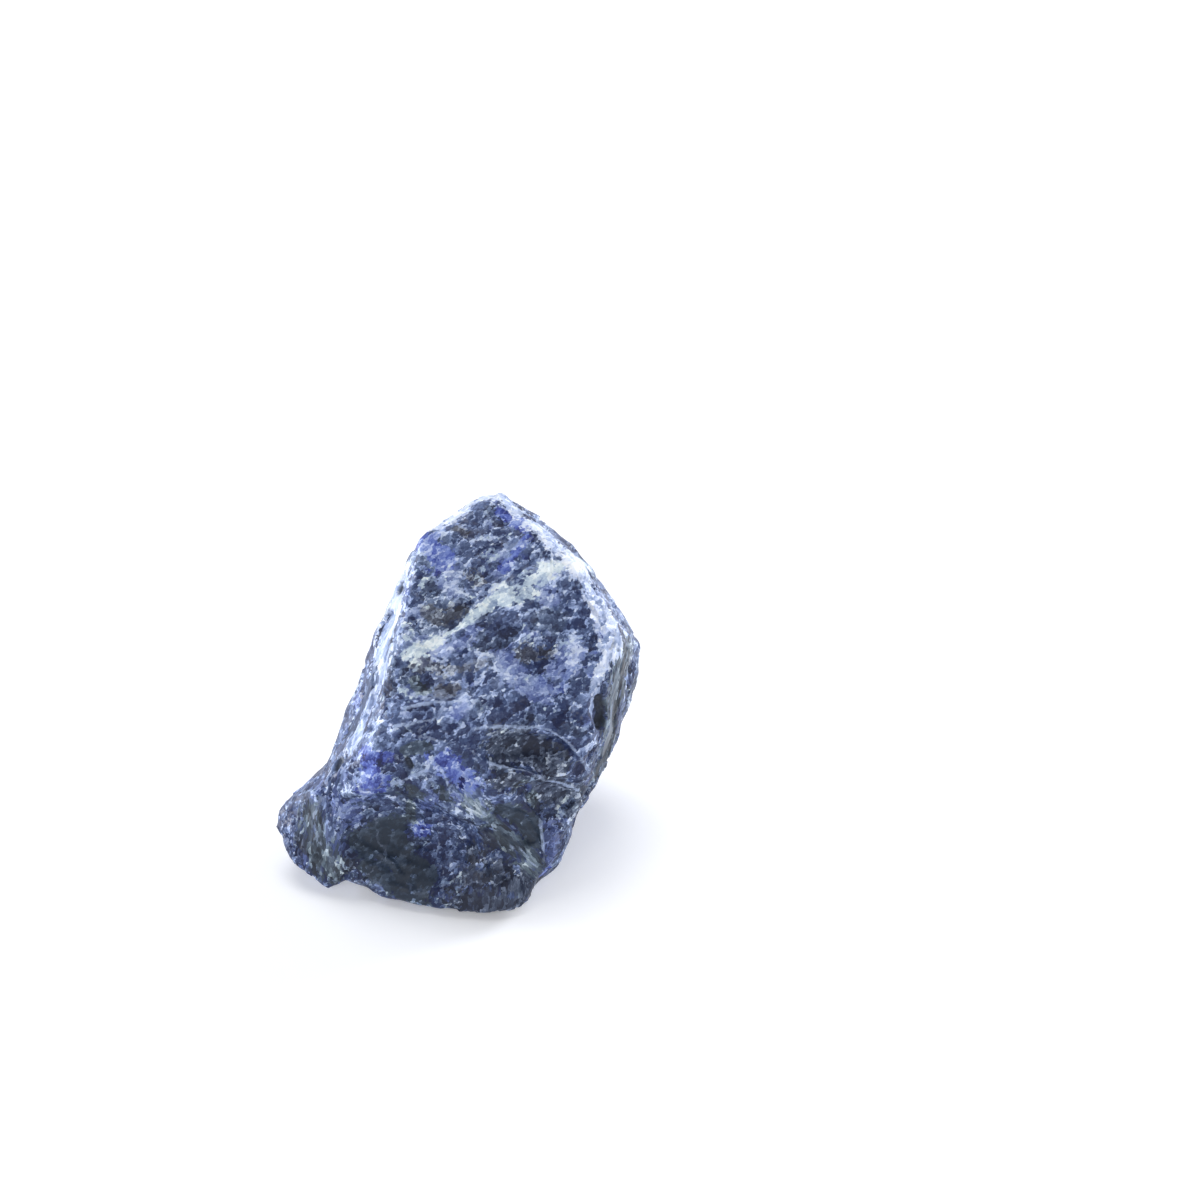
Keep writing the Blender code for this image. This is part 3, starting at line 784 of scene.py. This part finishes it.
studioSettings = {
    "floorWidth": 2.4,       # metres
    "floorColour": "#f4f5f7",
    "floorGlow": 0.18,       # the white ground is lit a little from below
    "fibreSize": 1.1,        # the paper's fibres, in millimetres
    "fibreHeight": 0.03, "fibreStrength": 0.3,
    "floorRoughness": 0.8,
    "airColour": "#f3f5fb",
    "horizon": 1.15,         # strength of the air at the horizon and overhead
    "zenith": 0.22,
    "fade": (0.12, 0.5),     # where it fades, as heights on a dome of radius 1
    "cameraPlace": (14.906, -159.161, 132.523),
    "cameraTilt": 57.0,      # degrees up from straight down
    "lens": 56.0, "sensorWidth": 36.0,
    "nearestShown": 5.0,     # nothing nearer to the camera is drawn
    "aim": (0.0, 0.0, 16.0),
    "boxDistance": 2.5,      # metres
    # name: degrees round from the right towards the back, degrees up, width in metres,
    # watts on each square metre of the stone, colour
    "boxes": {
        "overhead": (110, 74, 1.4, 1.45, "#ffffff"),
        "leftRim": (164, 8, 1.0, 3.3, "#f2f6ff"),
        "rightRim": (40, 20, 0.9, 2.6, "#f6f8ff"),
        "frontFill": (-100, 42, 1.4, 0.6, "#ffffff"),
    },
}


def paperMaterial():
    # matt white card, rolled smooth: to the eye an even pale ground without a gleam
    s = studioSettings
    paper = bpy.data.materials.new("whiteCard")
    paper.use_nodes = True
    tree = paper.node_tree
    tree.nodes.clear()
    place = addNode(tree, "ShaderNodeTexCoord", None, "Object")
    fibres = addNode(tree, "ShaderNodeTexNoise",
                     {"Vector": place, "Scale": 1 / (s["fibreSize"] * mm), "Detail": 2.0}, "Fac")
    bump = addNode(tree, "ShaderNodeBump",
                   {"Height": fibres, "Distance": s["fibreHeight"] * mm,
                    "Strength": s["fibreStrength"]}, "Normal")
    surface = addNode(tree, "ShaderNodeBsdfPrincipled",
                      {"Base Color": linearColour(s["floorColour"]), "Roughness": s["floorRoughness"],
                       "Normal": bump, "Emission Color": (1.0, 1.0, 1.0, 1.0),
                       "Emission Strength": s["floorGlow"]}, "BSDF")
    output = tree.nodes.new("ShaderNodeOutputMaterial")
    tree.links.new(surface, output.inputs["Surface"])
    return paper


def buildFloor():
    half = studioSettings["floorWidth"] / 2
    mesh = bpy.data.meshes.new("floor")
    mesh.from_pydata([(-half, -half, 0), (half, -half, 0), (half, half, 0), (-half, half, 0)], [],
                     [(0, 1, 2, 3)])
    mesh.materials.append(paperMaterial())
    floor = bpy.data.objects.new("floor", mesh)
    bpy.context.scene.collection.objects.link(floor)


def buildAir():
    # pale at the horizon and dimmer overhead, so the sides of the stone catch a soft light
    s = studioSettings
    world = bpy.data.worlds.new("studioAir")
    world.use_nodes = True
    tree = world.node_tree
    tree.nodes.clear()
    towards = addNode(tree, "ShaderNodeTexCoord", None, "Generated")
    rise = addNode(tree, "ShaderNodeSeparateXYZ", {0: towards}, "Z")
    low, high = s["fade"]
    strength = addNode(tree, "ShaderNodeMapRange",
                       {0: rise, 1: low, 2: high, 3: s["horizon"], 4: s["zenith"]},
                       interpolation_type="SMOOTHSTEP")
    air = addNode(tree, "ShaderNodeBackground", {0: linearColour(s["airColour"]), 1: strength})
    output = tree.nodes.new("ShaderNodeOutputWorld")
    tree.links.new(air, output.inputs["Surface"])
    bpy.context.scene.world = world


def buildBoxes():
    # a flat box sends its power over pi times the distance squared onto what it faces
    distance = studioSettings["boxDistance"]
    aim = Vector(studioSettings["aim"]) * mm
    for name, (around, above, width, brightness, colour) in studioSettings["boxes"].items():
        level = distance * cos(radians(above))
        place = Vector((level * cos(radians(around)), level * sin(radians(around)),
                        distance * sin(radians(above))))
        light = bpy.data.lights.new(name, "AREA")
        light.shape = "SQUARE"
        light.size = width
        light.energy = brightness * pi * distance ** 2
        light.color = linearColour(colour)[:3]
        box = bpy.data.objects.new(name, light)
        bpy.context.scene.collection.objects.link(box)
        box.location = place
        box.rotation_euler = (aim - place).to_track_quat("-Z", "Y").to_euler()
        box.visible_camera = False


def buildCamera():
    s = studioSettings
    lens = bpy.data.cameras.new("photoCamera")
    lens.lens = s["lens"]
    lens.sensor_width = s["sensorWidth"]
    lens.clip_start = s["nearestShown"] * mm
    camera = bpy.data.objects.new("photoCamera", lens)
    bpy.context.scene.collection.objects.link(camera)
    camera.location = Vector(s["cameraPlace"]) * mm
    camera.rotation_euler = (radians(s["cameraTilt"]), 0.0, 0.0)
    bpy.context.scene.camera = camera


buildFloor()
buildAir()
buildBoxes()
buildCamera()
bpy.context.scene.view_settings.view_transform = "Standard"
print("studio built")
